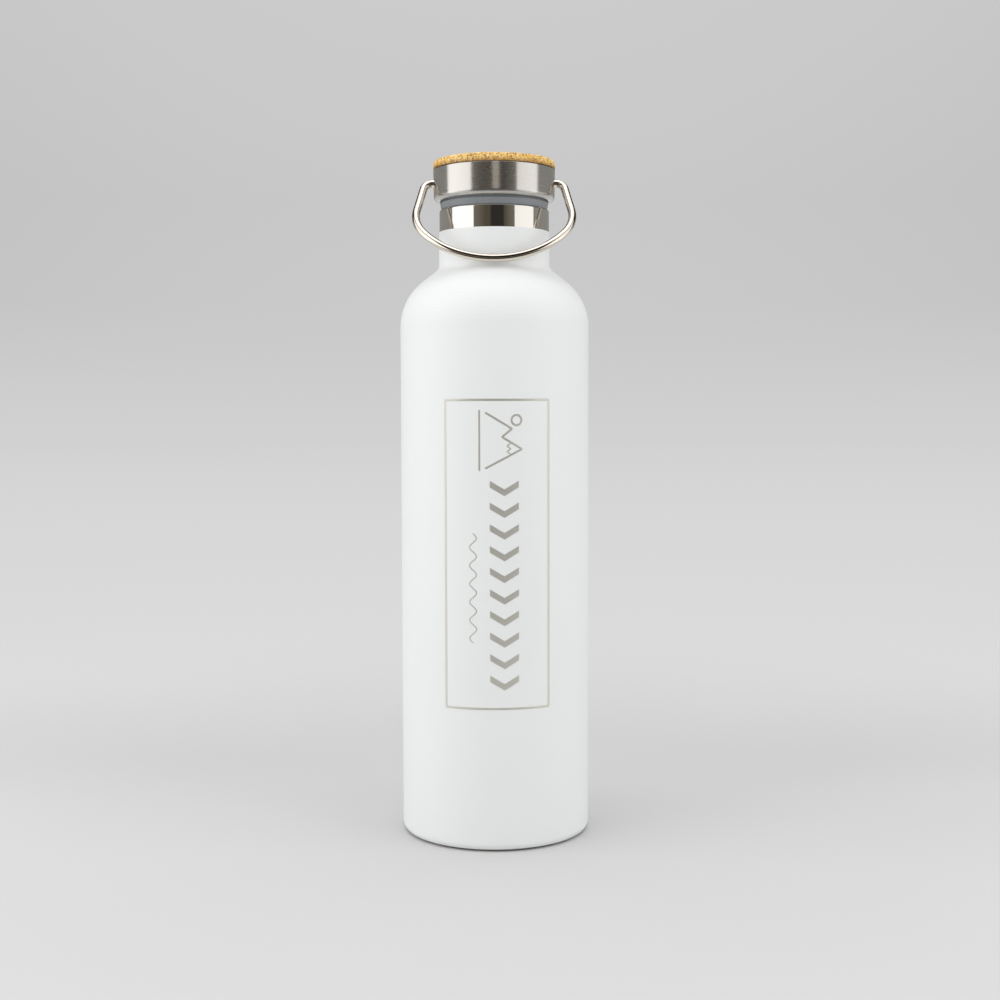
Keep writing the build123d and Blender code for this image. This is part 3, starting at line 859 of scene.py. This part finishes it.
def thin_band():
    """Fine wave, to the left of the chevrons."""
    middle, swing = -8.1 * MM, 1.3 * MM
    high, low, waves, steps = 119.0 * MM, 78.5 * MM, 6, 120
    wave = []
    for k in range(steps + 1):
        t = k / steps
        wave.append((middle + swing * math.sin(2 * math.pi * waves * t), high + (low - high) * t))
    return engrave_lines("engraved_wave", [(wave, False)], THIN_LINE)


# ---------------------------------------------------------------- assembly

polished = polished_steel()
plain = plain_steel()
engraved = engraved_steel()
acetal = moulded("bush_plastic", (0.85, 0.85, 0.83), 0.28)
moulded_plug = moulded("moulded_plastic", (0.105, 0.105, 0.108), 0.40)

NEW_PIECES = [
    (build_coat(), "bottle", ["powder_coat"], "white_coat", white_coat()),
    (build_shell(), "bottle", ["outer_shell"], "polished_steel", polished),
    (build_base_cover(), "bottle", ["base_cover"], "plain_steel", plain),
    (build_seal(), "seal", ["seal_ring"], "grey_silicone", grey_silicone()),
    (build_cap(), "lid", ["cap_shell"], "brushed_steel", brushed_steel()),
    (build_bamboo(), "lid", ["bamboo_disc"], "bamboo", bamboo()),
    (build_bail(), "handle", ["bail_handle"], "bail_steel", bail_steel()),
    (panel_frame(), "bottle", [], "polished_steel", engraved),
    (peaks_mark(), "bottle", [], "polished_steel", engraved),
    (snow_mark(), "bottle", [], "polished_steel", engraved),
    (chevron_band(), "bottle", [], "polished_steel", engraved),
    (thin_band(), "bottle", [], "polished_steel", engraved),
]
for piece, body, replaced, slot, material in NEW_PIECES:
    wear(piece, material)
    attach(piece, body)
    if replaced:
        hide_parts(*replaced)

CAD_MATERIALS = {
    "outer_base": plain,
    "vacuum_seal": sealing_glass(),
    "getter": pressed_powder(),
    "getter_clip": plain,
    "copper_wrap": foil(),
    "inner_liner": polished,
    "liner_base": plain,
    "bamboo_adhesive": moulded("glue", (0.12, 0.09, 0.06), 0.5),
    "cap_core": moulded_plug,
    "plug_foam": moulded("insulating_foam", (0.90, 0.90, 0.86), 0.7),
    "plug_base": moulded_plug,
    "pivot_bush_left": acetal,
    "pivot_bush_right": acetal,
}
for node, material in CAD_MATERIALS.items():
    wear(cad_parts[node], material)


# ---------------------------------------------------------------- stage, light and camera

def shown(level):
    """Linear light of a grey that shows as the given 8-bit level."""
    v = level / 255
    linear = ((v + 0.055) / 1.055) ** 2.4
    return (linear, linear, linear)


FLOOR_REACH = 6.0
FLOOR_DROP = 0.05 * MM       # keeps the foot and the paper from sharing a plane
PAPER_FRONT = 0.26           # how far the paper reaches in front, as the metal mirrors it
LIT_REACH = 0.20             # within this distance the floor is lit by the lamps alone
FAR_REACH = 0.75             # beyond this distance it glows evenly, as a long sweep would


def build_floor():
    """Wide pale paper: lit by the lamps near the bottle, evenly bright far away. Painted light
    makes the paper paler farther out, and a painted shadow darkens a band behind the bottle.
    """
    bm = bmesh.new()
    bmesh.ops.create_circle(bm, cap_ends=True, segments=96, radius=FLOOR_REACH)
    floor = finish_mesh("floor", bm)
    floor.location.z = -FLOOR_DROP
    n = Surface("floor_paper")
    x, y = n.axis("X"), n.axis("Y")
    distance = n.reach(x, y)
    share = n.math("DIVIDE", distance, FLOOR_REACH)
    # painted light: the paper's colour grows paler with distance, making up for the lamps' falloff
    near = n.ramp(share, [(0.0, (0.62, 0.62, 0.62)), (0.028, (0.62, 0.62, 0.62)),
                          (0.05, (0.65, 0.65, 0.65)), (0.09, (0.72, 0.72, 0.72))])
    # painted shadow: a band of the floor behind the bottle is darkened by 5.5 per cent
    behind = n.math("MULTIPLY", n.remap(y, 0.02, 0.12, smooth=True),
                    n.remap(y, 0.12, 0.34, 1.0, 0.0, smooth=True))
    n.set(Base_Color=n.mix(n.math("MULTIPLY", behind, 0.055), near, (0, 0, 0)), Roughness=0.9,
          Specular_IOR_Level=0.1)
    far = n.ramp(share, [(0.05, shown(219)), (0.11, shown(218.5)), (0.2, shown(216)),
                         (0.34, shown(214)), (0.66, shown(211.5)), (1.0, shown(210))])
    glow = n.new("ShaderNodeEmission")
    n.link(far, glow.inputs["Color"])
    blend = n.new("ShaderNodeMixShader")
    n.link(n.remap(distance, LIT_REACH, FAR_REACH, smooth=True), blend.inputs[0])
    n.link(n.shader.outputs[0], blend.inputs[1])
    n.link(glow.outputs[0], blend.inputs[2])
    n.link(blend.outputs[0], n.output.inputs["Surface"])
    wear(floor, n.material)


def build_studio_floor():
    """Dark studio floor in front of the paper: only the metal's reflections show it."""
    bm = bmesh.new()
    bmesh.ops.create_grid(bm, x_segments=8, y_segments=8, size=1.0)
    ground = finish_mesh("studio_floor", bm)
    half_depth = 1.5
    ground.scale = (1.6, half_depth, 1)
    ground.location = (0, -half_depth - PAPER_FRONT, 1 * MM)
    ground.visible_camera = False
    ground.visible_diffuse = False
    ground.visible_shadow = False
    n = Surface("studio_floor")
    boards = n.noise(n.scaled(3, 3, 3), detail=3)
    n.set(Base_Color=n.mix(boards, (0.03, 0.026, 0.02), (0.06, 0.05, 0.04)), Roughness=0.6)
    wear(ground, n.material)


def area_light(name, centre, facing, size, strength, tint=(1, 1, 1)):
    """Softbox of a given radiance, facing a point, unseen by the camera."""
    data = bpy.data.lights.new(name, "AREA")
    data.shape = "RECTANGLE"
    data.size, data.size_y = size
    data.energy = strength * size[0] * size[1] * math.pi
    data.color = tint
    light = bpy.data.objects.new(name, data)
    light.location = centre
    aim = Vector(facing) - Vector(centre)
    light.rotation_euler = aim.to_track_quat("-Z", "Y").to_euler()
    light.visible_camera = False
    bpy.context.scene.collection.objects.link(light)
    return light


def build_lights(cap, bail):
    """Softboxes on both sides and overhead, a warm strip for the cap and a glint for the bail."""
    height = 0.52
    area_light("softbox_left", (-0.80, -0.38, height), (0, -0.38, height), (0.95, 1.04), 1.30)
    area_light("softbox_right", (0.80, -0.436, height), (0, -0.436, height), (0.844, 1.04), 1.04)
    area_light("softbox_top", (0, -0.02, 1.5), (0, -0.02, 0), (1.9, 1.8), 1.1)
    strip = area_light("strip_front", (0.07, -1.2, 0.88), (0, 0, 0.3), (0.30, 0.8), 1.1,
                       (1.0, 0.92, 0.80))
    glint = area_light("glint_top", (0, 0.1, 1.2), (0, 0, 0.23), (0.6, 1.0), 1.3)
    for light, piece in ((strip, cap), (glint, bail)):
        lit = bpy.data.collections.new("lit_by_" + light.name)
        lit.objects.link(piece)
        light.light_linking.receiver_collection = lit


def build_world():
    """Pale gradient behind the bottle, soft ambient light, and a dim room for metal to mirror."""
    world = bpy.data.worlds.new("studio")
    bpy.context.scene.world = world
    n = Nodes(world, "Generated")
    x, y, z = n.axis("X"), n.axis("Y"), n.axis("Z")
    height = [(-0.03, 210), (0.006, 206.5), (0.07, 201.5), (0.14, 200), (0.2, 202), (0.27, 204)]
    low, high = height[0][0], height[-1][0]
    stops = [((z_at - low) / (high - low), shown(level)) for z_at, level in height]
    seen = n.ramp(n.remap(z, low, high), stops)
    edge = n.math("MULTIPLY", n.math("MINIMUM", n.math("MULTIPLY", x, x), 0.12),
                  n.remap(z, 0.0, 0.08, 0.0, 0.45, smooth=True))
    seen = n.mix(edge, seen, (0, 0, 0))

    azimuth = n.math("ARCTAN2", x, n.math("MULTIPLY", y, -1.0))
    back, side = (0.30, 0.295, 0.28), (0.18, 0.165, 0.14)
    brown, dark = (0.10, 0.085, 0.062), (0.034, 0.032, 0.03)
    room = n.ramp(n.remap(azimuth, -math.pi, math.pi),
                  [(0.0, back), (0.22, back), (0.40, side), (0.45, brown), (0.476, brown),
                   (0.484, dark), (0.552, dark), (0.560, brown), (0.60, side), (0.78, back),
                   (1.0, back)])
    room = n.mix(n.remap(z, 0.18, 0.42, smooth=True), room, (0.018, 0.012, 0.008))
    path = n.new("ShaderNodeLightPath")
    lighting = n.mix(path.outputs["Is Glossy Ray"], (0.62, 0.62, 0.62), room)
    background = n.new("ShaderNodeBackground")
    n.link(n.mix(path.outputs["Is Camera Ray"], lighting, seen), background.inputs["Color"])
    output = n.new("ShaderNodeOutputWorld")
    n.link(background.outputs[0], output.inputs["Surface"])


LENS = 51.63
LOOK_DOWN = math.radians(3.62)
LOOK_ROLL = math.radians(-0.139)
CAMERA_PLACE = (1.97 * MM, -560.8 * MM, 164.6 * MM)


def build_camera():
    """A 51.6 mm lens a little over half a metre in front, looking slightly down."""
    data = bpy.data.cameras.new("camera")
    data.sensor_width = 36.0
    data.lens = LENS
    data.clip_start = 0.01
    data.clip_end = 50.0
    camera = bpy.data.objects.new("camera", data)
    tilt = Matrix.Rotation(math.pi / 2 - LOOK_DOWN, 4, "X")
    roll = Matrix.Rotation(LOOK_ROLL, 4, "Z")
    camera.matrix_world = Matrix.Translation(CAMERA_PLACE) @ tilt @ roll
    bpy.context.scene.collection.objects.link(camera)
    bpy.context.scene.camera = camera


build_floor()
build_studio_floor()
build_lights(bpy.data.objects["cap_shell_skin"], bpy.data.objects["bail_wire"])
build_world()
build_camera()
bpy.context.scene.view_settings.view_transform = "Standard"
